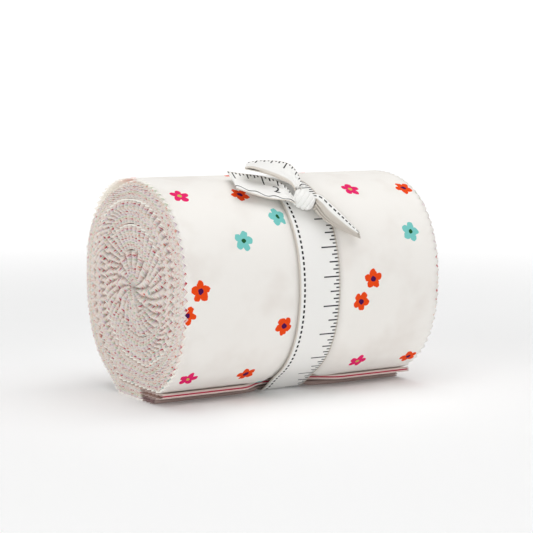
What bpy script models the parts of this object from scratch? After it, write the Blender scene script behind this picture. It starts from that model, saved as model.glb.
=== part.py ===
# A wound roll of pinked cotton strips tied with a cotton tape, in metres, +Z up.
# X runs along the roll, its left end at -X. The front is -Y, and it rests on a flat spot at Z = 0.
import math

import bpy
from mathutils import Vector

MM = 0.001
GAP = 0.3 * MM  # between neighbouring pieces

# The roll. Turns count from the tail, under the front, back beneath the roll, up and over the top.
STRIP_WIDTH = 127 * MM
ROLL_RADIUS = 46.2 * MM
AXIS_HEIGHT = 47.2 * MM
SQUARENESS = 0.02
SAG = 4.3 * MM  # how far the soft roll spreads down on to its flat spot
SAG_SPREAD = math.radians(24)
TAIL_TURN = math.radians(262)  # where the wound stack begins, 0 at the back and 90 degrees on top
TAIL_DEPTH = 5.6 * MM  # room that the two tail folds take under the roll
TURN_GROWTH = 5.7 * MM  # what a turn gains over the tail's depth on its way round
CREASE_SPREAD = [math.radians(60), math.radians(90), math.radians(100)]  # the tail's bump in the inner turns
RECESS_SPREAD = math.radians(24)  # the stretch of the first turn that lies on the tail folds
TURNS = 3.92
STEPS_PER_TURN = 56
SLIT = 0.5 * MM  # between one turn and the next
EYE_RADIUS = 0.5 * MM
END_CROWN = 0.9 * MM  # each turn's end is a soft ridge
EDGE_ROUND = 0.8 * MM

# The tape and the soft waist that it pulls into the roll.
TAPE_WIDTH = 20 * MM
TAPE_PLACE = 1.2 * MM
TAPE_THICK = 1.0 * MM
WAIST_DEPTH = 1.6 * MM
WAIST_SHOULDER = 5 * MM
TAPE_STEPS = 96
WAIST_HALF = TAPE_WIDTH / 2 + GAP

PALETTE = {
    "cotton": ((0.90, 0.87, 0.83), 0.85),
    "cut_edges": ((0.70, 0.64, 0.60), 0.9),
    "folded_cotton": ((0.72, 0.62, 0.58), 0.85),
    "tape": ((0.91, 0.91, 0.90), 0.8),
}

# The two folded tail ends under the front: height of the fold's middle at the left and right ends,
# how far forward the nose of the fold comes, how thick it is and how far the tape pulls it back.
TAIL_FOLDS = {
    "strip_end_upper": {"left": 4.3, "right": 4.5, "root": 3.95, "nose": -24.2, "thick": 2.1, "length": 126.4, "pinch": 7.6,
                        "finish": "cotton"},
    "strip_end_lower": {"left": 1.2, "right": 1.3, "root": 1.2, "nose": -16.4, "thick": 2.3, "length": 125.0, "pinch": 2.4,
                        "finish": "folded_cotton"},
}
TAIL_ROOT = 0.4 * MM  # clearance at the step of the wound stack
TAIL_STATIONS = 13
TAIL_LEVEL = 0.8  # the share of a fold that lies level under the roll

# The tied tape, a row for each section: the near edge (front) and the far edge (back) of the tape,
# in millimetres, from the knot outwards.
PLAIN_COLUMNS = ("near_x", "near_y", "near_z", "far_x", "far_y", "far_z")
LEFT_TAIL = [
    (-5.9, -37.0, 82.4, -5.6, -32.8, 86.2),
    (-9.0, -35.4, 83.6, -5.8, -27.2, 89.4),
    (-12.5, -34.6, 84.0, -8.0, -21.8, 91.4),
    (-18.0, -33.5, 84.8, -12.0, -17.0, 92.9),
    (-24.5, -32.2, 86.6, -17.5, -14.2, 94.0),
    (-30.4, -30.5, 88.7, -24.8, -13.0, 95.2),
]
UPPER_LOOP = [
    (-3.0, -31.2, 88.3, 1.4, -30.6, 88.5),
    (-4.2, -29.6, 90.6, 5.0, -21.0, 93.8),
    (-8.0, -27.8, 92.6, 5.6, -13.6, 97.2),
    (-14.0, -26.0, 94.8, 1.2, -9.6, 98.7),
    (-20.0, -24.6, 96.7, -7.0, -8.2, 99.0),
    (-22.6, -24.0, 96.5, -12.6, -8.6, 97.9),
    (-20.6, -24.4, 95.0, -9.6, -8.8, 96.2),
    (-14.0, -26.6, 92.8, -2.6, -11.0, 95.4),
    (-8.0, -28.8, 90.4, 2.4, -16.0, 94.0),
    (-3.4, -30.4, 88.2, 3.0, -24.4, 90.6),
    (-2.6, -31.0, 86.7, 1.2, -30.4, 86.9),
]
# The right tail is creased along its middle, so its sections have a ridge as well.
CREASED_COLUMNS = (
    "upper_x", "upper_y", "upper_z", "ridge_x", "ridge_y", "ridge_z", "lower_x", "lower_y", "lower_z",
)
RIGHT_TAIL = [
    (4.1, -33.6, 85.4, 3.6, -38.2, 83.4, 1.4, -39.6, 79.8),
    (8.4, -33.8, 85.2, 4.2, -41.2, 80.9, 3.0, -40.2, 77.4),
    (12.6, -37.6, 80.6, 5.6, -43.2, 77.8, 5.9, -41.2, 74.6),
    (15.6, -40.3, 76.8, 10.0, -44.3, 74.2, 10.2, -42.3, 72.0),
    (18.4, -41.9, 73.4, 14.4, -44.7, 71.2, 16.0, -43.4, 69.4),
    (21.4, -43.3, 69.9, 19.6, -44.9, 68.6, 21.6, -44.4, 67.0),
]
TAPE_SPLITS = 3  # interpolated sections between two rows

# The knot: its place along the roll and round it, and its half sizes.
KNOT = {"x": -0.9, "turn": 134, "across": 4.6, "down": 4.9, "out": 3.3}


def clear_scene():
    for old in list(bpy.data.objects):
        bpy.data.objects.remove(old)


def material(name):
    finish = bpy.data.materials.new(name)
    finish.use_nodes = True
    colour, roughness = PALETTE[name]
    shader = finish.node_tree.nodes["Principled BSDF"]
    shader.inputs["Base Color"].default_value = (*colour, 1)
    shader.inputs["Roughness"].default_value = roughness
    return finish


def node(name, points, faces, finish):
    mesh = bpy.data.meshes.new(name)
    mesh.from_pydata(points, [], faces)
    mesh.materials.append(finish)
    mesh.shade_smooth()
    mesh.set_sharp_from_angle(angle=math.radians(40))
    piece = bpy.data.objects.new(name, mesh)
    parts.objects.link(piece)
    return piece


def loft(rings, closed=False):
    """Faces between rings of equal length, with both ends capped unless the loft is closed."""
    count = len(rings[0])
    points = [point for ring in rings for point in ring]
    faces = []
    for i in range(len(rings) if closed else len(rings) - 1):
        here, there = i * count, (i + 1) % len(rings) * count
        for j in range(count):
            k = (j + 1) % count
            faces.append((here + j, there + j, there + k, here + k))
    if not closed:
        faces.append(tuple(range(count)))
        faces.append(tuple(reversed(range(len(points) - count, len(points)))))
    return points, faces


def facing_out(points, faces):
    """The same faces, turned over if they enclose a negative volume."""
    volume = 0.0
    for face in faces:
        first = Vector(points[face[0]])
        for b, c in zip(face[1:], face[2:]):
            volume += first.dot(Vector(points[b]).cross(Vector(points[c])))
    return faces if volume > 0 else [tuple(reversed(face)) for face in faces]


def smooth(share):
    share = min(1.0, max(0.0, share))
    return share * share * (3 - 2 * share)


def outline_radius(angle):
    """The roll's outer surface: a round section, a little square, that sags on to its flat spot."""
    away = math.remainder(angle - math.radians(270), math.tau)
    radius = ROLL_RADIUS * (1 - SQUARENESS * math.cos(4 * angle)) + SAG * math.exp(-((away / SAG_SPREAD) ** 4))
    below = -math.sin(angle)
    return min(radius, AXIS_HEIGHT / below) if below > 0.5 else radius


def waist(x):
    """How far the tape pulls the surface in at a place along the roll."""
    return WAIST_DEPTH * (1 - smooth((abs(x - TAPE_PLACE) - WAIST_HALF) / WAIST_SHOULDER))


def turn_depth(travel):
    """Depth of the wound stack's outer face below the outline, after an angle of travel from the tail."""
    if travel < math.tau:
        if travel < math.tau - RECESS_SPREAD:
            return 0.0
        angle = TAIL_TURN + travel
        return max(0.0, outline_radius(angle) + (AXIS_HEIGHT - TAIL_DEPTH) / math.sin(angle))
    depth = TURN_GROWTH * (travel / math.tau - 1) - TAIL_DEPTH / math.sin(TAIL_TURN)
    for k, spread in enumerate(CREASE_SPREAD, start=2):
        depth += TAIL_DEPTH * smooth((travel - math.tau * k + spread) / (1.6 * spread))
    return depth


def stack_radius(travel):
    """Radius of the stack's outer face. The form of the outline fades out towards the centre."""
    angle = TAIL_TURN + travel
    outer = outline_radius(angle)
    fade = 1 - smooth((travel / math.tau - 1) / (TURNS - 1.4))
    mean = ROLL_RADIUS + 0.4 * MM
    return max(mean + (outer - mean) * fade - turn_depth(travel), EYE_RADIUS + 1.2 * MM)


def across(radius, angle, x):
    return (x, radius * math.cos(angle), AXIS_HEIGHT + radius * math.sin(angle))


def make_roll():
    """The folded stack of strips as one thick mat, swept along its spiral with an open slit between turns."""
    half = STRIP_WIDTH / 2 - END_CROWN
    shoulders = (WAIST_HALF + WAIST_SHOULDER, WAIST_HALF + WAIST_SHOULDER / 2, WAIST_HALF)
    stations = [-half + EDGE_ROUND]
    stations += [TAPE_PLACE - reach for reach in shoulders]
    stations += [TAPE_PLACE + reach for reach in reversed(shoulders)]
    stations += [half - EDGE_ROUND]
    end = TURNS * math.tau
    steps = round(TURNS * STEPS_PER_TURN)
    rings = []
    for i in range(steps + 1):
        travel = end * i / steps
        angle = TAIL_TURN + travel
        outer = stack_radius(travel)
        if travel + math.tau <= end:
            inner = stack_radius(travel + math.tau) + SLIT
        else:
            over = (travel + math.tau - end) / math.radians(40)
            inner = EYE_RADIUS + (stack_radius(end) + SLIT - EYE_RADIUS) * (1 - smooth(over - 0.4))
        inner = min(inner, outer - 0.7 * MM)
        first_turn = 1 - smooth((travel - math.tau) / math.radians(50))
        thick = outer - inner
        ring = [across(outer - waist(x) * first_turn, angle, x) for x in stations]
        crown = END_CROWN * min(1.0, thick / (8 * MM))
        ring.append(across(outer - 0.12 * thick, angle, half))
        ring.append(across((outer + inner) / 2, angle, half + crown))
        ring.append(across(inner + 0.12 * thick, angle, half))
        ring.append(across(inner, angle, half - EDGE_ROUND))
        ring.append(across(inner, angle, -half + EDGE_ROUND))
        ring.append(across(inner + 0.12 * thick, angle, -half))
        ring.append(across((outer + inner) / 2, angle, -half - crown))
        ring.append(across(outer - 0.12 * thick, angle, -half))
        rings.append(ring)
    points, faces = loft(rings)
    return node("roll", points, facing_out(points, faces), material("cut_edges"))


def tape_pull(x):
    return 1 - smooth((abs(x - TAPE_PLACE) - WAIST_HALF) / (3 * WAIST_SHOULDER))


def make_tail_fold(name, size):
    """A strip's folded end, flat under the roll, with a round nose that the tape pulls back."""
    root = AXIS_HEIGHT / math.tan(TAIL_TURN - math.pi) * -1 - TAIL_ROOT
    length = size["length"] * MM
    rings = []
    edges = [-length / 2 + length * i / (TAIL_STATIONS - 1) for i in range(TAIL_STATIONS)]
    edges += [TAPE_PLACE - WAIST_HALF, TAPE_PLACE + WAIST_HALF]
    for x in sorted(edges):
        along = x / length + 0.5
        nose = (size["nose"] + size["pinch"] * tape_pull(x)) * MM
        tip = (size["left"] + (size["right"] - size["left"]) * along) * MM
        start = size["root"] * MM
        half = size["thick"] * MM / 2
        underside = waist(x) if name == "strip_end_lower" else 0.0
        top, bottom = [], []
        for share in (0.0, 0.4, TAIL_LEVEL, 0.9, 1.0):
            y = root + (nose + half - root) * share
            z = start + (tip - start) * smooth((share - TAIL_LEVEL) / (1 - TAIL_LEVEL))
            top.append((x, y, z + half))
            bottom.append((x, y, max(z - half, underside)))
        middle = (top[-1][2] + bottom[-1][2]) / 2
        bow = (top[-1][2] - bottom[-1][2]) / 2
        arc = []
        for degrees in (45, 0, -45):
            turn = math.radians(degrees)
            arc.append((x, nose + half - half * math.cos(turn), middle + bow * math.sin(turn)))
        rings.append(top + arc + bottom[::-1])
    points, faces = loft(rings)
    return node(name, points, facing_out(points, faces), material(size["finish"]))


def make_tape_band():
    """The tape that goes round the roll and the tail folds, let into the waist."""
    half = TAPE_WIDTH / 2
    rings = []
    for i in range(TAPE_STEPS):
        angle = math.tau * (i + 0.5) / TAPE_STEPS
        outer = outline_radius(angle) - WAIST_DEPTH + GAP + TAPE_THICK
        inner = outer - TAPE_THICK
        rings.append([
            across(outer, angle, TAPE_PLACE - half),
            across(outer, angle, TAPE_PLACE + half),
            across(inner, angle, TAPE_PLACE + half),
            across(inner, angle, TAPE_PLACE - half),
        ])
    points, faces = loft(rings, closed=True)
    return node("tie_band", points, facing_out(points, faces), tape_cotton)


def between(rows, splits):
    """Rows on a smooth curve through the given ones, with more of them."""
    out = []
    for i in range(len(rows) - 1):
        before, here = rows[max(i - 1, 0)], rows[i]
        there, after = rows[i + 1], rows[min(i + 2, len(rows) - 1)]
        for step in range(splits):
            t = step / splits
            out.append([
                0.5 * (2 * b + (c - a) * t + (2 * a - 5 * b + 4 * c - d) * t * t + (3 * b - a - 3 * c + d) * t ** 3)
                for a, b, c, d in zip(before, here, there, after)
            ])
    out.append(list(rows[-1]))
    return out


def make_tape_piece(name, rows, columns):
    """A length of tape through its rows of edge points, given its thickness on both sides."""
    lines = []
    for row in between(rows, TAPE_SPLITS):
        lines.append([Vector(row[i:i + 3]) * MM for i in range(0, len(columns), 3)])
    rings = []
    for i, line in enumerate(lines):
        ahead, behind = lines[min(i + 1, len(lines) - 1)], lines[max(i - 1, 0)]
        top, under = [], []
        for j, point in enumerate(line):
            along = ahead[j] - behind[j]
            side = line[min(j + 1, len(line) - 1)] - line[max(j - 1, 0)]
            push = along.cross(side).normalized() * TAPE_THICK / 2
            top.append(tuple(point + push))
            under.append(tuple(point - push))
        rings.append(top + under[::-1])
    points, faces = loft(rings)
    return node(name, points, facing_out(points, faces), tape_cotton)


def make_knot():
    """The pulled knot: a soft block with folds across it, leaning with the roll's surface."""
    bpy.ops.mesh.primitive_uv_sphere_add(segments=20, ring_count=12, radius=1)
    knot = bpy.context.object
    knot.name = "tie_knot"
    turn = math.radians(KNOT["turn"])
    lift = outline_radius(turn) - WAIST_DEPTH + 2 * GAP + TAPE_THICK + KNOT["out"] * MM
    for vertex in knot.data.vertices:
        folds = 1 + 0.05 * math.cos(9 * vertex.co.x)
        x = KNOT["x"] * MM + vertex.co.x * KNOT["across"] * MM
        down = vertex.co.y * KNOT["down"] * MM * folds
        out = lift + vertex.co.z * KNOT["out"] * MM
        vertex.co = (
            x,
            out * math.cos(turn) + down * math.sin(turn),
            AXIS_HEIGHT + out * math.sin(turn) - down * math.cos(turn),
        )
    for collection in list(knot.users_collection):
        collection.objects.unlink(knot)
    parts.objects.link(knot)
    knot.data.materials.append(tape_cotton)
    knot.data.shade_smooth()
    return knot


clear_scene()
parts = bpy.data.collections.new("fabric_strip_roll")
bpy.context.scene.collection.children.link(parts)
tape_cotton = material("tape")
make_roll()
for fold_name, fold_size in TAIL_FOLDS.items():
    make_tail_fold(fold_name, fold_size)
make_tape_band()
make_knot()
make_tape_piece("tie_loop", UPPER_LOOP, PLAIN_COLUMNS)
make_tape_piece("tie_tail_left", LEFT_TAIL, PLAIN_COLUMNS)
make_tape_piece("tie_tail_right", RIGHT_TAIL, CREASED_COLUMNS)
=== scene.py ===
# Looks of the tied roll of pinked cotton strips. Metres, +Z up, the front is -Y, the roll's axis is X.
import math
import random

import bpy
import numpy as np
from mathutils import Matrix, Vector


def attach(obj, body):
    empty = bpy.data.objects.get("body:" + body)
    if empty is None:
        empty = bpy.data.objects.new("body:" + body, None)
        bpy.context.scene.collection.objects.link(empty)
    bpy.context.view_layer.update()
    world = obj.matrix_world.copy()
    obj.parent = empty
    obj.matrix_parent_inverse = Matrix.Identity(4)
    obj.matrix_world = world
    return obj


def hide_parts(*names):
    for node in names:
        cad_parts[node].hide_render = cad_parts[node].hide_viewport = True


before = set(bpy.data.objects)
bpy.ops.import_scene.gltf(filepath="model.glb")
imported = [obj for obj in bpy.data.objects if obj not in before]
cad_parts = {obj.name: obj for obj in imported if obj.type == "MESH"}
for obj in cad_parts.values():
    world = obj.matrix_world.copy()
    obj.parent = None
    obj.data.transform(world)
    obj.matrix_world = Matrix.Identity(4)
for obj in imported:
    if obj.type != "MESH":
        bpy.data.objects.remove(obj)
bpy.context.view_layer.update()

mm = 0.001
tau = math.tau
rad = math.radians


def clamp(value, low=0.0, high=1.0):
    return np.minimum(high, np.maximum(low, value))


def smooth(share):
    share = clamp(share)
    return share * share * (3 - 2 * share)


# Camera, fitted to the photo by the roll's outline and the repeat of its print
eye = dict(place=(-369.67, -600.14, 130.11), down=6.309, azimuth=31.82, lens=109.53, sensor=36)


def makeCamera():
    data = bpy.data.cameras.new("camera")
    data.lens = eye["lens"]
    data.sensor_width = eye["sensor"]
    data.clip_start = 0.05
    data.clip_end = 20
    data.dof.use_dof = False
    camera = bpy.data.objects.new("camera", data)
    camera.location = Vector(eye["place"]) * mm
    camera.rotation_euler = (rad(90 - eye["down"]), 0, rad(-eye["azimuth"]))
    bpy.context.scene.collection.objects.link(camera)
    bpy.context.scene.camera = camera


makeCamera()
print("camera set")

# The roll's shape, as in the part's source. Angles round the roll: 0 at the back, 90 on top, 180 in front.
roll = dict(
    width=127 * mm, radius=46.2 * mm, axis=47.2 * mm, square=0.02,
    sag=4.3 * mm, sagSpread=rad(24), tailTurn=rad(262), tailDepth=5.6 * mm, growth=5.7 * mm,
    creases=(rad(60), rad(90), rad(100)), recess=rad(24), turns=3.92, slit=0.5 * mm, eye=0.5 * mm,
)
tape = dict(width=20 * mm, place=1.2 * mm, waist=1.6 * mm, shoulder=5 * mm, gap=0.3 * mm, thick=1.0 * mm)
waistHalf = tape["width"] / 2 + tape["gap"]


def outlineRadius(angle):
    away = np.remainder(angle - rad(270) + math.pi, tau) - math.pi
    round_ = roll["radius"] * (1 - roll["square"] * np.cos(4 * angle))
    radius = round_ + roll["sag"] * np.exp(-((away / roll["sagSpread"]) ** 4))
    below = np.maximum(-np.sin(angle), 0.5)
    return np.where(-np.sin(angle) > 0.5, np.minimum(radius, roll["axis"] / below), radius)


def waist(x):
    return tape["waist"] * (1 - smooth((np.abs(x - tape["place"]) - waistHalf) / tape["shoulder"]))


def turnDepth(travel):
    angle = roll["tailTurn"] + travel
    level = outlineRadius(angle) + (roll["axis"] - roll["tailDepth"]) / np.minimum(np.sin(angle), -0.2)
    first = np.where(travel < tau - roll["recess"], 0.0, np.maximum(0.0, level))
    later = roll["growth"] * (travel / tau - 1) - roll["tailDepth"] / math.sin(roll["tailTurn"])
    for k, spread in enumerate(roll["creases"], start=2):
        later = later + roll["tailDepth"] * smooth((travel - tau * k + spread) / (1.6 * spread))
    return np.where(travel < tau, first, later)


def stackRadius(travel):
    outer = outlineRadius(roll["tailTurn"] + travel)
    fade = 1 - smooth((travel / tau - 1) / (roll["turns"] - 1.4))
    mean = roll["radius"] + 0.4 * mm
    return np.maximum(mean + (outer - mean) * fade - turnDepth(travel), roll["eye"] + 1.2 * mm)


def innerRadius(travel):
    end = roll["turns"] * tau
    wound = stackRadius(np.minimum(travel + tau, end)) + roll["slit"]
    over = (travel + tau - end) / rad(40)
    closing = roll["eye"] + (stackRadius(np.array(end)) + roll["slit"] - roll["eye"]) * (1 - smooth(over - 0.4))
    inner = np.where(travel + tau <= end, wound, closing)
    return np.minimum(inner, stackRadius(travel) - 0.7 * mm)


# Colours and finishes
def linear(code):
    channels = [int(code[i:i + 2], 16) / 255 for i in (1, 3, 5)]
    return tuple(c / 12.92 if c <= 0.04045 else ((c + 0.055) / 1.055) ** 2.4 for c in channels) + (1.0,)


class Shader:
    """A material's node tree with short calls for its nodes and links."""

    def __init__(self, name, colour, roughness=0.9):
        self.material = bpy.data.materials.new(name)
        self.material.use_nodes = True
        self.tree = self.material.node_tree
        self.base = self.tree.nodes["Principled BSDF"]
        self.base.inputs["Base Color"].default_value = linear(colour)
        self.base.inputs["Roughness"].default_value = roughness
        self.base.inputs["Specular IOR Level"].default_value = 0.15

    def node(self, kind, inputs=None, **settings):
        made = self.tree.nodes.new(kind)
        for key, value in settings.items():
            setattr(made, key, value)
        for key, value in (inputs or {}).items():
            if isinstance(value, bpy.types.NodeSocket):
                self.tree.links.new(value, made.inputs[key])
            else:
                made.inputs[key].default_value = value
        return made

    def math(self, operation, a, b=0.0, c=0.0):
        made = self.node("ShaderNodeMath", {0: a, 1: b}, operation=operation)
        if isinstance(c, bpy.types.NodeSocket) or c:
            made.inputs[2].default_value = 0
            if isinstance(c, bpy.types.NodeSocket):
                self.tree.links.new(c, made.inputs[2])
            else:
                made.inputs[2].default_value = c
        return made.outputs[0]

    def step(self, value, low, high):
        made = self.node("ShaderNodeMapRange", {0: value, 1: low, 2: high}, interpolation_type="SMOOTHSTEP")
        return made.outputs[0]

    def mix(self, share, a, b):
        made = self.node("ShaderNodeMix", {0: share, 6: a, 7: b}, data_type="RGBA")
        return made.outputs[2]

    def place(self):
        """The cloth's own coordinates in millimetres: along, across, and a number for the layer."""
        made = self.node("ShaderNodeAttribute", attribute_name="place")
        return made.outputs["Vector"]

    def split(self, vector):
        return self.node("ShaderNodeSeparateXYZ", {0: vector}).outputs

    def noise(self, vector, scale, detail=2.0):
        made = self.node("ShaderNodeTexNoise", {"Vector": vector, "Scale": scale, "Detail": detail})
        return made.outputs["Fac"]

    def weave(self, vector, pitch, depth):
        """Fine plain weave, threads over and under each other, as a bump."""
        along, across, _ = self.split(vector)
        a = self.math("SINE", self.math("MULTIPLY", along, tau / pitch))
        b = self.math("SINE", self.math("MULTIPLY", across, tau / pitch))
        threads = self.math("MULTIPLY", a, b)
        bump = self.node("ShaderNodeBump", {"Height": threads, "Distance": depth, "Strength": 0.6})
        self.tree.links.new(bump.outputs[0], self.base.inputs["Normal"])

    def colour(self, socket):
        self.tree.links.new(socket, self.base.inputs["Base Color"])


# Small print motifs on the strips, seen only where their pinked edges crop up at the ends
stripPrints = {
    "cream": dict(ground="#F4E7DE", motif="#DC9A8C", cover=0.62, size=0.75),
    "mauve": dict(ground="#DCC8D4", motif="#F4E8EC", cover=0.52, size=0.8),
    "sage": dict(ground="#CBD8BF", motif="#F0ECE2", cover=0.52, size=0.7),
    "tan": dict(ground="#E6D6BF", motif="#F3EBDF", cover=0.50, size=0.7),
    "blush": dict(ground="#EFCCC4", motif="#F5EEE9", cover=0.48, size=0.8),
    "mist": dict(ground="#D0D7D2", motif="#F1EDE8", cover=0.50, size=0.75),
    "white": dict(ground="#F3EFEA", motif="#E0735A", cover=0.70, size=0.5, spacing=11.7, row=62.6, dot=0.8),
    "crimson_dots": dict(ground="#EEDCD6", motif="#C4143C", cover=0.66, size=0.62, spacing=5.1, row=62.2, dot=1.0),
    "teal_dots": dict(ground="#EDE8E1", motif="#5FA8A6", cover=0.68, size=0.5, spacing=8.3, row=62.8, dot=0.8),
}


# Cut-edge tones: painted shade in the valleys between the teeth, and pale frayed tips that also carry painted light
edgeTone = dict(paintedShade="#B6A29B", tip="#FBF3EC")


def cutEdge(shader, tone):
    """Painted shade darker between the teeth; paler tips where they fray, with painted light on them."""
    tip = shader.node("ShaderNodeAttribute", attribute_name="tip").outputs["Fac"]
    # painted shade: the tone darkened towards the valleys between the teeth
    near = shader.node("ShaderNodeMix", {0: 1.0, 6: tone, 7: linear(edgeTone["paintedShade"])}, data_type="RGBA", blend_type="MULTIPLY")
    tone = shader.mix(shader.step(tip, 0.05, 0.75), near.outputs[2], tone)
    # paler frayed tips, also painted light on them
    return shader.mix(shader.math("MULTIPLY", shader.step(tip, 0.55, 1.0), 0.6), tone, linear(edgeTone["tip"]))


def stripMaterial(name):
    look = stripPrints[name]
    shader = Shader("cotton_" + name, look["ground"])  # matt quilting cotton, its print seen as flecks at the cut edge
    along, across, layer = shader.split(shader.place())
    flecks = shader.node("ShaderNodeCombineXYZ", {0: along, 1: across, 2: shader.math("MULTIPLY", layer, 7.3)})
    field = shader.noise(flecks.outputs[0], look["size"])
    share = shader.step(field, look["cover"] - 0.01, look["cover"] + 0.01)
    if "spacing" in look:  # an even row of dots that the pinked edge runs through
        step = look["spacing"]
        dx = shader.math("WRAP", shader.math("ADD", along, shader.math("MULTIPLY", field, 3.0)), step / 2, -step / 2)
        dy = shader.math("SUBTRACT", shader.math("ABSOLUTE", across), look["row"])
        reach = shader.math("SQRT", shader.math("ADD", shader.math("MULTIPLY", dx, dx), shader.math("MULTIPLY", dy, dy)))
        share = shader.math("MAXIMUM", share, shader.step(reach, look["dot"] + 0.1, look["dot"] - 0.1))
    printed = shader.mix(share, linear(look["ground"]), linear(look["motif"]))
    shader.colour(cutEdge(shader, printed))
    return shader.material


# The outer strip's print: one repeat of 83.8 by 84.6 mm, places measured from its first magenta flower
repeat = dict(width=83.8, height=84.6, left=-14.0, low=-12.0, firstX=-54.4, firstTurn=123.0)
flowerKinds = {
    "magenta": dict(petal="#E8246B", heart="#C8C060", reach=0.56, wide=0.34, long=0.43, heartSize=0.85),
    "orange": dict(petal="#EE4A12", heart="#4A1050", reach=0.57, wide=0.36, long=0.41, heartSize=1.2),
    "aqua": dict(petal="#7ACBC6", heart="#1F5A30", reach=0.57, wide=0.37, long=0.41, heartSize=0.95),
}
flowers = [
    dict(kind="magenta", x=0.0, y=0.0, turn=10, size=4.3),
    dict(kind="orange", x=27.9, y=0.8, turn=40, size=4.2),
    dict(kind="aqua", x=20.6, y=24.2, turn=75, size=4.4),
    dict(kind="orange", x=-1.6, y=43.5, turn=20, size=4.6),
    dict(kind="orange", x=-7.5, y=53.0, turn=62, size=4.2),
    dict(kind="aqua", x=40.0, y=14.0, turn=30, size=4.4),
    dict(kind="magenta", x=57.5, y=39.0, turn=5, size=4.3),
    dict(kind="orange", x=38.5, y=61.0, turn=50, size=4.3),
]


def flowerPrint(shader, ground):
    place = shader.place()
    along, across, _ = shader.split(place)
    wrapX = shader.math("WRAP", across, repeat["left"] + repeat["width"], repeat["left"])
    wrapY = shader.math("WRAP", along, repeat["low"] + repeat["height"], repeat["low"])
    cell = shader.node("ShaderNodeCombineXYZ", {0: wrapX, 1: wrapY})
    wobble = shader.node("ShaderNodeTexNoise", {"Vector": place, "Scale": 0.45, "Detail": 1.0})
    swing = shader.node("ShaderNodeVectorMath", {0: wobble.outputs["Color"], 1: (0.5, 0.5, 0.5)}, operation="SUBTRACT")
    swing = shader.node("ShaderNodeVectorMath", {0: swing.outputs[0], "Scale": 1.4}, operation="SCALE")
    cell = shader.node("ShaderNodeVectorMath", {0: cell.outputs[0], 1: swing.outputs[0]}, operation="ADD")
    result = ground
    fifth = rad(72)
    for flower in flowers:
        kind = flowerKinds[flower["kind"]]
        size = flower["size"]
        middle = (flower["x"], flower["y"], 0)
        away = shader.node("ShaderNodeVectorMath", {0: cell.outputs[0], 1: middle}, operation="SUBTRACT")
        dx, dy, _ = shader.split(away.outputs[0])
        reach = shader.node("ShaderNodeVectorMath", {0: away.outputs[0]}, operation="LENGTH").outputs["Value"]
        bearing = shader.math("ADD", shader.math("ARCTAN2", dy, dx), rad(flower["turn"]))
        local = shader.math("WRAP", bearing, fifth / 2, -fifth / 2)
        px = shader.math("SUBTRACT", shader.math("MULTIPLY", reach, shader.math("COSINE", local)), kind["reach"] * size)
        py = shader.math("MULTIPLY", reach, shader.math("SINE", local))
        px = shader.math("DIVIDE", px, kind["long"] * size)
        py = shader.math("DIVIDE", py, kind["wide"] * size)
        petal = shader.math("ADD", shader.math("MULTIPLY", px, px), shader.math("MULTIPLY", py, py))
        middle = shader.math("DIVIDE", reach, 0.41 * size)
        form = shader.math("MINIMUM", petal, shader.math("MULTIPLY", middle, middle))
        result = shader.mix(shader.step(form, 1.1, 0.95), result, linear(kind["petal"]))
        result = shader.mix(shader.step(reach, kind["heartSize"] + 0.1, kind["heartSize"] - 0.1), result, linear(kind["heart"]))
    return result


def wrongSide():
    shader = Shader("cotton_wrong_side_painted_glow", "#F6F3EC")  # the unprinted side; painted light: a faint glow stands in for light shining through
    shader.base.inputs["Emission Color"].default_value = linear("#F4EEE4")
    shader.base.inputs["Emission Strength"].default_value = 0.22
    shader.weave(shader.place(), 0.55, 0.03 * mm)
    return shader.material


def flowerCotton():
    shader = Shader("printed_quilting_cotton", "#F4F1EC")  # warm white ground with scattered five-petal flowers
    faint = shader.step(shader.noise(shader.place(), 0.045, 3.0), 0.45, 0.75)  # the layer below shows through
    ground = shader.mix(shader.math("MULTIPLY", faint, 0.5), linear("#F5F2ED"), linear("#E6DFD8"))
    shader.colour(flowerPrint(shader, ground))
    shader.weave(shader.place(), 0.55, 0.03 * mm)
    return shader.material


# Meshes from grids of points
def clothPiece(name, parts, material, thick):
    """One object from grids of points, each with its cloth coordinates, thickened like real cloth."""
    points, places, tips, faces = [], [], [], []
    start = 0
    for grid, place, tip in parts:
        rows, columns = grid.shape[:2]
        points.append(grid.reshape(-1, 3))
        places.append(place.reshape(-1, 3))
        tips.append(tip.reshape(-1))
        index = start + np.arange(rows * columns).reshape(rows, columns)
        quads = np.stack([index[:-1, :-1], index[1:, :-1], index[1:, 1:], index[:-1, 1:]], axis=-1)
        faces.append(quads.reshape(-1, 4))
        start += rows * columns
    mesh = bpy.data.meshes.new(name)
    mesh.from_pydata(np.concatenate(points).tolist(), [], np.concatenate(faces).tolist())
    layer = mesh.attributes.new("place", "FLOAT_VECTOR", "POINT")
    layer.data.foreach_set("vector", np.concatenate(places).astype(np.float32).ravel())
    # how near a point is to a tooth's tip: drives the painted shade between the teeth and the pale frayed tips
    frayAndShade = mesh.attributes.new("tip", "FLOAT", "POINT")
    frayAndShade.data.foreach_set("value", np.concatenate(tips).astype(np.float32))
    mesh.materials.append(material)
    mesh.shade_smooth()
    piece = bpy.data.objects.new(name, mesh)
    bpy.context.scene.collection.objects.link(piece)
    if thick:
        body = piece.modifiers.new("cloth_thickness", "SOLIDIFY")
        body.thickness = thick
        body.offset = 0
    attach(piece, "root")
    return piece


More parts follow.
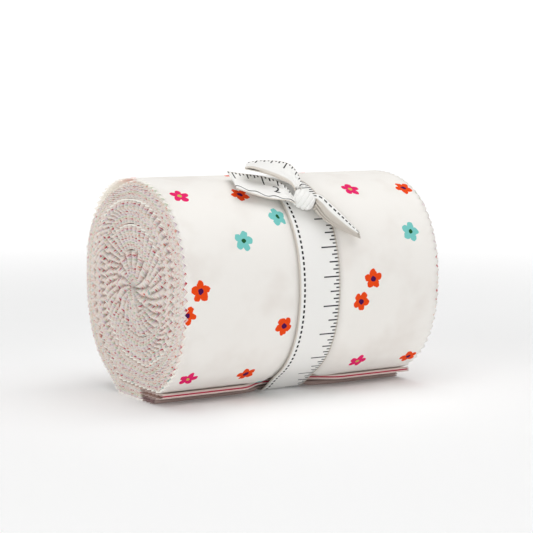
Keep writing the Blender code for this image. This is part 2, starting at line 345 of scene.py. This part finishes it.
# The wound strips, from the outermost in. Each is folded in half, so it is two layers in the stack.
strips = dict(
    count=20, cut=(0.127, 1.118), thick=0.29 * mm, pitch=3.2 * mm, tooth=1.7 * mm, layer=0.283 * mm,
    # valleyTone sets how strongly the painted shade darkens the valleys between the teeth
    crown=0.7 * mm, rounding=0.2 * mm, shift=0.14 * mm, fade=rad(9), valleyTone=0.25,
    unevenly=0.3 * mm, loosely=1.2 * mm,
)
printOrder = [
    "white", "teal_dots", "cream", "crimson_dots", "mauve", "sage", "white", "tan", "blush", "mist",
    "crimson_dots", "cream", "mauve", "white", "sage", "tan", "crimson_dots", "blush", "mist", "cream",
]
draw = random.Random(7)
fullTravel = roll["turns"] * tau + rad(24)  # the innermost layers fill the hollow by the core
travelGrid = np.linspace(0, fullTravel, 6000)
outerGrid = stackRadius(travelGrid)
innerGrid = innerRadius(travelGrid)


def stripEnds():
    """Where a strip ends before the tail or starts after the core. All are cut to one length, and the outer
    ones go the longer way round, so they end sooner."""
    tailRoom = outerGrid[0] - innerGrid[0]
    early = strips["count"] - int(tailRoom / (2 * strips["layer"]))
    tails = {n: rad(318) - rad(298) * (n - 1) / (early - 1) for n in range(1, early + 1)}
    return tails, {0: fullTravel - 1.3 * tau}


tails, cores = stripEnds()


def presence(strip, travel):
    share = np.ones_like(travel)
    if strip in tails:
        share = share * smooth((travel - tails[strip]) / strips["fade"])
    if strip in cores:
        share = share * (1 - smooth((travel - cores[strip]) / strips["fade"]))
    return share


present = np.array([presence(n, travelGrid) for n in range(strips["count"])])
above = np.cumsum(present, axis=0) - present
total = present.sum(axis=0)


standOff = dict(start=22, end=100, fade=34, out=0.5 * mm, dent=3.0 * mm, depth=9 * mm, reach=55 * mm)


def slack(angle, x):
    """How slack the outer strip is: at the upper back, most at its left end."""
    turn = np.remainder(angle, tau)
    fade = rad(standOff["fade"])
    bulge = smooth((turn - rad(standOff["start"])) / fade) * smooth((rad(standOff["end"]) - turn) / fade)
    return bulge * (0.2 + 0.8 * (1 - smooth((x + roll["width"] / 2) / standOff["reach"])))


# How far each layer's teeth slip behind those of the layer above, in millimetres, by turns from the core
slipTurns = [0.0, 1.0, 1.9, 2.9, 3.3, 4.0]
slipPerLayer = [0.04, 0.09, 0.12, 0.22, 0.50, 0.42]
chevrons = dict(start=1.75, end=2.95, depth=3.2, layers=13)


def arcOf(radius):
    """Length along a spiral from the core, at every place of the travel grid."""
    angle = roll["tailTurn"] + travelGrid
    y, z = radius * np.cos(angle), radius * np.sin(angle)
    steps = np.hypot(np.diff(y), np.diff(z))
    return np.concatenate([np.cumsum(steps[::-1])[::-1], [0.0]])


middleArc = arcOf((outerGrid + innerGrid) / 2)
jitter = [draw.uniform(-1, 1) for _ in range(2 * strips["count"])]
turnsGrid = (fullTravel - travelGrid) / tau


def layerPath(strip, half):
    """Travel, depth share and radius of one layer at every half tooth along it."""
    share = (above[strip] + (half + 0.5) / 2 * present[strip]) / total
    radius = outerGrid - share * (outerGrid - innerGrid)
    layer = share * 2 * strips["count"]
    slip = layer * np.interp(turnsGrid, slipTurns, slipPerLayer) * mm
    zigzag = np.abs(np.remainder(layer / chevrons["layers"], 2) - 1)
    band = smooth((turnsGrid - chevrons["start"]) / 0.3) * (1 - smooth((turnsGrid - chevrons["end"]) / 0.3))
    slip = slip + zigzag * band * chevrons["depth"] * mm
    loose = smooth((turnsGrid - 2.8) / 0.25) * (1 - smooth((turnsGrid - 3.35) / 0.25))
    slip = slip + jitter[strip * 2 + half] * (strips["unevenly"] + strips["loosely"] * loose)
    phase = middleArc + slip
    shown = present[strip] > 0.5
    halfTooth = strips["pitch"] / 2
    order = np.argsort(phase)
    low, high = phase[shown].min(), phase[shown].max()
    numbers = np.arange(math.ceil(low / halfTooth), math.floor(high / halfTooth) + 1)
    travel = np.interp(numbers * halfTooth, phase[order], travelGrid[order])
    return dict(
        number=numbers, along=np.interp(travel, travelGrid, arcOf(radius)), travel=travel,
        share=np.interp(travel, travelGrid, share), radius=np.interp(travel, travelGrid, radius),
    )


def layerGrid(strip, half, stations, wave):
    """The layer's points: a row for each half tooth and a column for each station across the strip."""
    path = layerPath(strip, half)
    travel = path["travel"][:, None]
    angle = roll["tailTurn"] + travel
    share = path["share"][:, None]
    first = 1 - smooth((travel - tau) / rad(60))
    notch = strips["tooth"] * (path["number"] % 2 == 0)[:, None]
    drift = wave["shift"] + 0.12 * mm * np.sin(path["along"] / (38 * mm) + wave["phase"])[:, None]
    edge = roll["width"] / 2 - strips["crown"] * (2 * share - 1) ** 2 * (1 - 0.6 * first)
    edge = edge - strips["rounding"] * (1 - share) ** 3 * first
    left = -edge + drift + notch
    right = edge + drift - notch
    reach = np.array(stations)[None, :]
    middle = (left + right) / 2
    x = np.where(reach < 0, middle + (left - middle) * -reach, middle + (right - middle) * reach)
    outer = path["radius"][:, None]
    depth = share * np.interp(travel, travelGrid, outerGrid - innerGrid)
    pulled = waist(x) * first * clamp(1 - depth / (4.5 * mm)) ** 1.5
    radius = outer - pulled
    if strip == 0 and half == 0:
        radius = radius + standOff["out"] * slack(angle, x) * (travel < tau)
    else:
        radius = radius - standOff["dent"] * slack(angle, x) * (travel < tau) * clamp(1 - depth / standOff["depth"])
    y = radius * np.cos(angle)
    z = roll["axis"] + radius * np.sin(angle)
    grid = np.stack([x, y, z], axis=-1)
    alongMm = path["along"][:, None] / mm + 0 * x
    if strip == 0:  # on the outer strip the print is placed by the angle round the roll
        alongMm = (angle - tau - rad(repeat["firstTurn"])) * roll["radius"] / mm + 0 * x
        acrossMm = x / mm - repeat["firstX"]
    else:
        acrossMm = x / mm
    place = np.stack([alongMm, acrossMm, 0 * x + strip * 2 + half], axis=-1)
    # tip: 1 at a tooth's tip, valleyTone in a valley, 0 inside; it drives the painted shade between the teeth and the
    # pale frayed tips
    atEdge = (np.abs(reach) > 0.999) + 0 * x
    tip = np.where(path["number"][:, None] % 2 == 0, strips["valleyTone"], 1.0) * atEdge
    return grid, place, tip


def foldOver(first, second, bulge):
    """Joins two layers at the tail by a round fold."""
    a, b = first[-1], second[-1]
    ahead = first[-1] - first[-2]
    ahead = ahead / np.maximum(np.linalg.norm(ahead, axis=-1, keepdims=True), 1e-9)
    rows = []
    for degrees in (30, 60, 90, 120, 150):
        turn = rad(degrees)
        rows.append((a + b) / 2 + (a - b) / 2 * math.cos(turn) + ahead * bulge * math.sin(turn))
    return np.array(rows)


def makeStrips():
    fine = [n / 26 for n in range(-26, 27)]
    waisted = [-1, -0.95, -0.6, -0.26, -0.21, -0.16, -0.1, 0, 0.12, 0.2, 0.24, 0.3, 0.6, 0.95, 1]
    plain = [-1, -0.95, 0, 0.95, 1]
    made = []
    for strip in range(strips["count"]):
        stations = fine if strip == 0 else waisted if strip < 7 else plain
        wave = dict(shift=draw.uniform(-1, 1) * strips["shift"], phase=draw.uniform(0, tau))
        outer, outerPlace, outerTip = layerGrid(strip, 0, stations, wave)
        inner, innerPlace, innerTip = layerGrid(strip, 1, stations, wave)
        if strip in tails:
            fold = foldOver(outer, inner, 0.3 * mm)
            foldPlace = np.repeat(outerPlace[-1:], len(fold), axis=0)
            grid = np.concatenate([outer, fold, inner[::-1]])
            place = np.concatenate([outerPlace, foldPlace, innerPlace[::-1]])
            foldTip = np.repeat(outerTip[-1:], len(fold), axis=0)
            parts = [(grid, place, np.concatenate([outerTip, foldTip, innerTip[::-1]]))]
        else:
            parts = [(outer, outerPlace, outerTip), (inner, innerPlace, innerTip)]
        material = flowerCotton() if strip == 0 else clothMaterials[printOrder[strip]]
        piece = clothPiece("strip_%02d" % (strip + 1), parts, material, strips["thick"])
        if strip == 0:  # its inner faces are the unprinted side
            piece.data.materials.clear()
            piece.data.materials.append(wrongSide())
            piece.data.materials.append(material)
            piece.modifiers["cloth_thickness"].material_offset = 1
        made.append(piece)
    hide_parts("roll")
    return made


clothMaterials = {name: stripMaterial(name) for name in stripPrints}
makeStrips()
print("strips wound")

# The folded ends of the last strips, tucked under the front. Heights and reaches in millimetres.
ends = dict(
    upper=dict(left=4.3, right=4.5, root=3.95, nose=-24.2, thick=2.1, length=126.4, pinch=7.6, level=0.8),
    lower=dict(left=1.2, right=1.3, root=1.2, nose=-16.4, thick=2.3, length=125.0, pinch=2.4, level=0.8),
)


def tapePull(x):
    return 1 - smooth((np.abs(x - tape["place"]) - waistHalf) / (3 * tape["shoulder"]))


def foldedEnd(name, size, inset, material):
    """A folded end: top layer, round nose and under layer, with pinked ends."""
    rootY = -roll["axis"] / math.tan(roll["tailTurn"] - math.pi) - 0.4 * mm
    half = (size["thick"] / 2 - inset) * mm
    straight = abs(size["nose"] * mm + half - rootY)
    count = int(straight / (strips["pitch"] / 2))
    shares = [n / count for n in range(count + 1)]
    profile = [(s, 1.0, 0.0) for s in shares]
    profile += [(1.0, math.cos(rad(d)), math.sin(rad(d))) for d in (30, 60, 90, 120, 150)]
    profile += [(s, -1.0, 0.0) for s in reversed(shares)]
    across = 61
    rows, places, tips = [], [], []
    travelled, last = 0.0, None
    for number, (share, up, out) in enumerate(profile):
        notch = strips["tooth"] * (number % 2)
        reach = size["length"] * mm / 2 - notch - inset * 0.4 * mm
        x = np.linspace(-reach, reach, across)
        along = x / (size["length"] * mm) + 0.5
        nose = (size["nose"] + size["pinch"] * tapePull(x)) * mm + inset * mm
        tip = (size["left"] + (size["right"] - size["left"]) * along) * mm
        start = size["root"] * mm
        y = rootY + (nose + half - rootY) * share - half * out
        z = start + (tip - start) * smooth((share - size["level"]) / (1 - size["level"])) + half * up
        z = np.maximum(z, 0.16 * mm + (waist(x) if size is ends["lower"] else 0) + 0 * x)
        row = np.stack([x, y, z], axis=-1)
        if last is not None:
            travelled += float(np.linalg.norm((row - last)[10, 1:]))
        last = row
        rows.append(row)
        places.append(np.stack([0 * x + travelled / mm, x / mm, 0 * x + (1 - share) * straight / mm], axis=-1))
        tips.append(0 * x)
    piece = clothPiece(name, [(np.array(rows), np.array(places), np.array(tips))], material, 0.3 * mm)
    return piece


def ledgeCotton(name, ground, paintedShade, line):
    """Pale cotton with one printed line near the fold, and painted shade, dark red-brown, where it goes in under the
    roll.
    """
    shader = Shader(name, ground)
    along, across, depth = shader.split(shader.place())
    inside = shader.step(shader.math("ABSOLUTE", across), 61.6, 60.4)
    # painted shade: dark red-brown where the fold goes in under the roll, weaker at the strip's ends
    crease = shader.math("MULTIPLY", shader.step(depth, 3.4, 5.2), shader.math("ADD", shader.math("MULTIPLY", inside, 0.7), 0.3))
    tone = shader.mix(crease, linear(ground), linear(paintedShade))
    if line:
        gap = shader.math("ABSOLUTE", shader.math("SUBTRACT", along, line))
        tone = shader.mix(shader.step(gap, 0.34, 0.2), tone, linear("#B5304A"))
    shader.colour(tone)
    shader.weave(shader.place(), 0.55, 0.03 * mm)
    return shader.material


def makeEnds():
    # the ledge's dark red-brown where it goes in under the roll is painted shade
    upper = foldedEnd("strip_end_upper_cloth", ends["upper"], 0.15, ledgeCotton("ledge_cotton", "#E8D6CF", "#6B2F25", 17.4))
    inner = foldedEnd("strip_end_inner_cloth", ends["upper"], 0.62, clothMaterials["blush"])
    # its darker ground is painted shade on the layer under the upper fold, and its deep brown is painted shade in the
    # crease
    lower = foldedEnd("strip_end_lower_cloth", ends["lower"], 0.15, ledgeCotton("lower_cotton_painted_shade", "#B29C96", "#6F4A42", 0))
    core = foldedEnd("strip_end_core_cloth", ends["lower"], 0.66, clothMaterials["mauve"])
    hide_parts("strip_end_upper")
    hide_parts("strip_end_lower")


makeEnds()
print("folded ends made")

# The tape. Its table rows are sections of the tape from the knot outwards, in millimetres.
tapeCloth = dict(thick=0.38 * mm, splits=8, across=61)
leftTail = [
    (-5.9, -37.0, 82.4, -5.6, -32.8, 86.2),
    (-9.0, -35.4, 83.6, -5.8, -27.2, 89.4),
    (-12.5, -34.6, 84.0, -8.0, -21.8, 91.4),
    (-18.0, -33.5, 84.8, -12.0, -17.0, 92.9),
    (-24.5, -32.2, 86.6, -17.5, -14.2, 94.0),
    (-30.4, -30.5, 88.7, -24.8, -13.0, 95.2),
]
upperLoop = [
    (-3.0, -31.2, 88.3, 1.4, -30.6, 88.5),
    (-4.2, -29.6, 90.6, 5.0, -21.0, 93.8),
    (-8.0, -27.8, 92.6, 5.6, -13.6, 97.2),
    (-14.0, -26.0, 94.8, 1.2, -9.6, 98.7),
    (-20.0, -24.6, 96.7, -7.0, -8.2, 99.0),
    (-22.6, -24.0, 96.5, -12.6, -8.6, 97.9),
    (-20.6, -24.6, 96.0, -9.6, -8.8, 96.2),
    (-14.2, -26.3, 94.3, -2.6, -11.0, 95.4),
    (-8.2, -28.1, 92.0, 2.4, -16.0, 94.0),
    (-3.9, -30.0, 89.8, 3.0, -24.4, 90.6),
    (-2.6, -31.0, 86.9, 1.2, -30.4, 86.9),
]
rightTail = [
    (4.1, -33.6, 85.4, 3.6, -38.2, 83.4, 1.4, -39.6, 79.8),
    (8.4, -33.8, 85.2, 4.2, -41.2, 80.9, 3.0, -40.2, 77.4),
    (12.6, -37.6, 80.6, 5.6, -43.2, 77.8, 5.9, -41.2, 74.6),
    (15.6, -40.3, 76.8, 10.0, -44.3, 74.2, 10.2, -42.3, 72.0),
    (18.4, -41.9, 73.4, 14.4, -44.7, 71.2, 16.0, -43.4, 69.4),
    (21.4, -43.3, 69.9, 19.6, -44.9, 68.6, 21.6, -44.4, 67.0),
]
knot = dict(x=-0.9, turn=134, lean=38, along=4.5, wide=4.3, out=3.4, pleat=0.17, folds=6)


def between(rows, splits):
    """Rows on a smooth curve through the given ones, with more of them."""
    out = []
    for i in range(len(rows) - 1):
        before, here = rows[max(i - 1, 0)], rows[i]
        there, after = rows[i + 1], rows[min(i + 2, len(rows) - 1)]
        for step in range(splits):
            t = step / splits
            out.append([
                0.5 * (2 * b + (c - a) * t + (2 * a - 5 * b + 4 * c - d) * t * t + (3 * b - a - 3 * c + d) * t ** 3)
                for a, b, c, d in zip(before, here, there, after)
            ])
    out.append(list(rows[-1]))
    return np.array(out)


def tapeInk(shader, along, across, layout, dashPlace=2.4):
    """How much ink is at a place: a ruler's ticks on one edge, a thin wavy line or dashes on the other."""
    sixteenth = 1.5875
    spot = shader.math("ABSOLUTE", shader.math("SUBTRACT", shader.math("FRACT", shader.math("DIVIDE", along, sixteenth)), 0.5))
    near = shader.step(spot, 0.22, 0.15)
    reach = 2.0
    for spacing, extra in ((2, 1.2), (4, 1.6), (8, 3.2)):
        offset = shader.math("ADD", along, sixteenth * (spacing / 2 - 0.5))
        cell = shader.math("FRACT", shader.math("DIVIDE", offset, sixteenth * spacing))
        hit = shader.step(shader.math("ABSOLUTE", shader.math("SUBTRACT", cell, 0.5)), 0.52 / spacing, 0.48 / spacing)
        reach = shader.math("ADD", shader.math("MULTIPLY", hit, extra), reach)
    edge = shader.math("SUBTRACT", 20.0, across)
    ticks = shader.math("MULTIPLY", near, shader.step(shader.math("SUBTRACT", reach, edge), -0.1, 0.1))
    if layout == "ticks":
        return ticks
    if layout == "wavy":
        swing = shader.math("MULTIPLY", shader.math("SINE", shader.math("DIVIDE", along, 1.3)), 0.75)
        line = shader.math("ABSOLUTE", shader.math("SUBTRACT", shader.math("SUBTRACT", across, swing), 2.6))
        other = shader.step(line, 0.38, 0.26)
    else:
        dash = shader.step(shader.math("FRACT", shader.math("DIVIDE", along, 2.3)), 0.62, 0.58)
        line = shader.math("ABSOLUTE", shader.math("SUBTRACT", across, dashPlace))
        other = shader.math("MULTIPLY", dash, shader.step(line, 0.5, 0.4))
    return shader.math("MAXIMUM", ticks, other)


def tapeMaterial(name, layout, edgeShadeWidth=0.9, shaded=0.0):
    shader = Shader(name, "#F6F5F2", 0.85)  # flat woven cotton tape, printed in soft black
    place = shader.place()
    along, across, _ = shader.split(place)
    tone = linear("#F6F5F2")
    if layout:
        dashPlace = 1.7 if shaded else 2.4
        tone = shader.mix(tapeInk(shader, along, across, layout, dashPlace), tone, linear("#242426"))
    # painted shade: a beige band along both edges of the tape, broad on the loop's near edge
    near = shader.step(across, edgeShadeWidth, edgeShadeWidth / 3)
    edgeShade = shader.math("MAXIMUM", near, shader.step(across, 19.1, 19.7))
    tone = shader.mix(shader.math("MULTIPLY", edgeShade, 0.75), tone, linear("#D2C8BA"))
    if shaded:  # a creased half lies in its own shade
        under = shader.math("MULTIPLY", shader.step(across, shaded - 0.6, shaded + 0.6), 0.8)
        tone = shader.mix(under, tone, linear("#C2B9AD"))
    shader.colour(tone)
    shader.weave(place, 0.5, 0.04 * mm)
    return shader.material


def gridNormals(grid):
    along = np.gradient(grid, axis=0)
    side = np.gradient(grid, axis=1)
    out = np.cross(along, side)
    return out / np.maximum(np.linalg.norm(out, axis=-1, keepdims=True), 1e-12)


def tapePiece(name, rows, material, pleats, wave, flip=False):
    """A length of tape through its rows of edge points, gathered into pleats at the knot."""
    table = between(rows, tapeCloth["splits"]) * mm
    columns = table.shape[1] // 3
    lines = table.reshape(len(table), columns, 3)
    share = np.linspace(0, 1, tapeCloth["across"])
    grid = np.stack([
        np.stack([np.interp(share, np.linspace(0, 1, columns), line[:, axis]) for line in lines])
        for axis in range(3)
    ], axis=-1)
    lengths = np.linalg.norm(np.diff(lines.mean(axis=1), axis=0), axis=1)
    along = np.concatenate([[0.0], np.cumsum(lengths)])
    normal = gridNormals(grid)
    reach = pleats.get("reach", 7) * mm
    fade = np.exp(-along / reach)
    if pleats.get("both"):
        fade = fade + np.exp(-(along[-1] - along) / reach)
    folds = np.sin(share * math.pi * pleats["count"]) * smooth((share - pleats.get("low", -1)) / 0.1)
    pleat = pleats["depth"] * mm * folds[None, :] * fade[:, None]
    ripple = wave * mm * np.sin(along / (5.2 * mm))[:, None] * np.sin(share * math.pi * 1.3 + 0.4)[None, :]
    grid = grid + normal * (pleat + ripple * (1 - fade[:, None] * 0.8))[:, :, None]
    across = share if not flip else 1 - share
    place = np.stack([
        np.repeat(along[:, None] / mm, len(share), 1),
        np.repeat(across[None, :] * 20, len(along), 0),
        np.zeros((len(along), len(share))),
    ], axis=-1)
    piece = clothPiece(name, [(grid, place, 0 * place[..., 0])], material, tapeCloth["thick"])
    return piece, grid, along


def makeBand():
    """The tape round the roll: a closed ring that lies in the soft waist."""
    steps = 240
    share = np.linspace(0, 1, 11)
    angle = np.linspace(0, tau, steps + 1)[:, None]
    x = tape["place"] + (share[None, :] - 0.5) * tape["width"]
    middle = outlineRadius(angle) - tape["waist"] + tape["gap"] + tape["thick"] * 0.6
    edgeLift = 0.18 * mm * np.abs(2 * share[None, :] - 1) ** 4
    radius = middle + edgeLift + 0 * x
    grid = np.stack([x + 0 * angle, radius * np.cos(angle), roll["axis"] + radius * np.sin(angle)], axis=-1)
    along = angle * roll["radius"] / mm
    place = np.stack([along + 0 * x, share[None, :] * 20 + 0 * angle, 0 * radius], axis=-1)
    piece = clothPiece("tape_round_the_roll", [(grid, place, 0 * place[..., 0])], tapeMaterial("tape_ruler_print", "dashes"), tapeCloth["thick"])
    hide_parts("tie_band")
    return piece


def makeKnot():
    """The knot: the tape pulled over itself, its folds running up to the right."""
    turn, lean = rad(knot["turn"]), rad(knot["lean"])
    middle = outlineRadius(np.array(turn)) - tape["waist"] + 2 * tape["gap"] + tape["thick"] + knot["out"] * mm
    wrap = np.linspace(rad(-165), rad(165), 49)[:, None]
    tilt = np.linspace(rad(-80), rad(80), 111)[None, :]
    wave = tilt / rad(160) * knot["folds"] * math.pi + 0.9 * np.sin(wrap * 0.7 + 0.5)
    ridge = 1 - (1 - np.abs(np.cos(wave))) ** 2
    body = np.cos(tilt) ** 0.5 * (1 + knot["pleat"] * (ridge - 0.8))
    along = knot["along"] * mm * (np.sin(tilt) + 0.12 * np.cos(wrap * 1.5) * np.cos(tilt))
    wide = knot["wide"] * mm * np.sin(wrap) * body
    out = middle + knot["out"] * mm * np.cos(wrap) * body
    x = knot["x"] * mm + along * math.cos(lean) - wide * math.sin(lean)
    down = along * math.sin(lean) + wide * math.cos(lean)
    y = out * math.cos(turn) - down * math.sin(turn)
    z = roll["axis"] + out * math.sin(turn) + down * math.cos(turn)
    grid = np.stack([x, y, z], axis=-1)
    place = np.stack([wrap * 4 + 0 * tilt, (tilt / rad(168) + 0.5) * 16 + 2 + 0 * wrap, 0 * x], axis=-1)
    cotton = tapeMaterial("tape_plain", "")
    piece = clothPiece("tape_knot", [(grid, place, 0 * place[..., 0])], cotton, tapeCloth["thick"])
    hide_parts("tie_knot")
    return piece


def numeral(name, text, grid, along, centre, height, turn, side):
    """A plain printed number that lies on the tape, its outline bent to the tape's surface."""
    curve = bpy.data.curves.new("numeral_outline", "FONT")
    curve.body = text
    curve.align_x = "CENTER"
    curve.align_y = "CENTER"
    shape = bpy.data.objects.new("numeral_outline", curve)
    bpy.context.scene.collection.objects.link(shape)
    flat = bpy.data.meshes.new_from_object(shape.evaluated_get(bpy.context.evaluated_depsgraph_get()))
    bpy.data.objects.remove(shape)
    normal = gridNormals(grid)
    rowIndex = np.arange(len(along))
    points = []
    for vertex in flat.vertices:
        right, up = vertex.co.x * height * side, vertex.co.y * height
        u = right * math.cos(turn) - up * math.sin(turn) + centre[0]
        v = right * math.sin(turn) + up * math.cos(turn) + centre[1]
        row = min(np.interp(u * mm, along, rowIndex), len(along) - 1.001)
        column = min(max(v / 20 * (grid.shape[1] - 1), 0), grid.shape[1] - 1.001)
        i, j = int(row), int(column)
        a, b = row - i, column - j

        def blend(field):
            low = field[i, j] * (1 - b) + field[i, j + 1] * b
            high = field[i + 1, j] * (1 - b) + field[i + 1, j + 1] * b
            return low * (1 - a) + high * a

        points.append(tuple(blend(grid) + blend(normal) * side * (tapeCloth["thick"] / 2 + 0.12 * mm)))
    mesh = bpy.data.meshes.new(name)
    mesh.from_pydata(points, [], [tuple(face.vertices) for face in flat.polygons])
    mesh.materials.append(ink.material)
    piece = bpy.data.objects.new(name, mesh)
    bpy.context.scene.collection.objects.link(piece)
    bpy.data.meshes.remove(flat)
    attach(piece, "root")
    return piece


ink = Shader("soft_black_ink", "#242426", 0.8)  # printed ink, flat on the tape


def makeTape():
    makeBand()
    makeKnot()
    wavy = tapeMaterial("tape_wavy_print", "wavy")
    # the broad beige band on the loop's near edge is painted shade
    ticked = tapeMaterial("tape_loop_print", "ticks", 4.2)
    dashed = tapeMaterial("tape_dashed_print", "dashes", 0.5, 4.4)
    tail, grid, along = tapePiece("tape_tail_left", leftTail, wavy, dict(depth=0.55, count=6), 0.35)
    two = numeral("numeral_left_tail", "2", grid, along, (8.6, 9.6), 7.0, 0, -1)
    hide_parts("tie_tail_left")
    loop, _, loopAlong = tapePiece("tape_loop", upperLoop, ticked, dict(depth=0.45, count=6, both=True), 0.25)
    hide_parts("tie_loop")
    # the crease's lower half turns in again behind the tail, so a fourth line runs back under the upper edge
    tucked = [row + tuple(row[6 + k] + 0.8 * (row[k] - row[6 + k]) for k in range(3)) for row in rightTail]
    right, _, rightAlong = tapePiece("tape_tail_right", tucked, dashed, dict(depth=0.45, count=19, reach=30, low=0.2), 0.15)
    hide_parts("tie_tail_right")


makeTape()
print("tape tied")

# Floor and light
# glow, glowNear and their ranges paint light on the paper bowl
studio = dict(
    floor="#F6F6F6", distant="#8C8C8C", world="#FFFFFF", worldPower=0.25, glow=0.87, glowNear=0.06, glowFrom=0.16, glowTo=0.9,
    fadeFrom=0.45, fadeTo=0.9, flat=1.4, bend=0.8, wall=4.0, sides=64, look="Standard",
)


def makeFloor():
    # a seamless white paper bowl: flat under the roll, rising in a wide curve well away from it on all sides
    bend = studio["bend"]
    profile = [(0.02, 0.0), (0.5, 0.0), (studio["flat"], 0.0)]
    profile += [(studio["flat"] + bend * math.sin(rad(d)), bend - bend * math.cos(rad(d))) for d in range(10, 91, 10)]
    profile += [(studio["flat"] + bend, studio["wall"])]
    sides = studio["sides"]
    points, faces = [(0.0, 0.0, 0.0)], []
    for radius, height in profile:
        for side in range(sides):
            points.append((radius * math.cos(tau * side / sides), radius * math.sin(tau * side / sides), height))
    for side in range(sides):
        after = (side + 1) % sides
        faces.append((0, 1 + side, 1 + after))
        for ring in range(len(profile) - 1):
            low, high = 1 + ring * sides, 1 + (ring + 1) * sides
            faces.append((low + side, high + side, high + after, low + after))
    mesh = bpy.data.meshes.new("floor")
    mesh.from_pydata(points, [], faces)
    mesh.shade_smooth()
    floor = bpy.data.objects.new("floor", mesh)
    bpy.context.scene.collection.objects.link(floor)
    paper = Shader("white_paper_sweep_painted_glow", studio["floor"], 0.9)  # seamless white paper; painted light: it glows away from the roll, and faintly everywhere, which lightens the shadows on it
    paper.base.inputs["Emission Color"].default_value = linear("#FFFFFF")
    x, y, z = paper.split(paper.node("ShaderNodeNewGeometry").outputs["Position"])
    # painted light: a glow that rises away from the roll and fades high up the wall, plus a faint glow everywhere; the
    # paper turns greyer where the glow takes over
    flat = paper.math("SQRT", paper.math("ADD", paper.math("MULTIPLY", x, x), paper.math("MULTIPLY", y, y)))
    away = paper.step(flat, studio["glowFrom"], studio["glowTo"])
    ring = paper.math("MULTIPLY", away, studio["glow"])
    glow = paper.math("MULTIPLY", ring, paper.step(z, studio["fadeTo"], studio["fadeFrom"]))
    paper.tree.links.new(paper.math("ADD", glow, studio["glowNear"]), paper.base.inputs["Emission Strength"])
    paper.colour(paper.mix(away, linear(studio["floor"]), linear(studio["distant"])))
    mesh.materials.append(paper.material)


def makeLight(name, place, aim, size, power):
    data = bpy.data.lights.new(name, "AREA")
    data.shape = "RECTANGLE"
    data.size, data.size_y = size
    data.energy = power
    light = bpy.data.objects.new(name, data)
    light.location = place
    light.rotation_euler = (Vector(aim) - Vector(place)).to_track_quat("-Z", "Y").to_euler()
    bpy.context.scene.collection.objects.link(light)


def makeStudio():
    makeFloor()
    makeLight("overhead", (0.1, -0.1, 1.1), (0, 0, 0.04), (1.2, 1.2), 10.0)
    makeLight("front_right", (0.8, -1.0, 0.6), (0, 0, 0.05), (0.8, 0.8), 0.45)
    makeLight("left_fill", (-1.1, -0.4, 0.5), (0, 0, 0.05), (0.7, 0.7), 2.9)
    world = bpy.data.worlds.new("studio")
    world.use_nodes = True
    background = world.node_tree.nodes["Background"]
    background.inputs["Color"].default_value = linear(studio["world"])
    background.inputs["Strength"].default_value = studio["worldPower"]
    bpy.context.scene.world = world
    bpy.context.scene.view_settings.view_transform = studio["look"]


makeStudio()
print("studio lit")
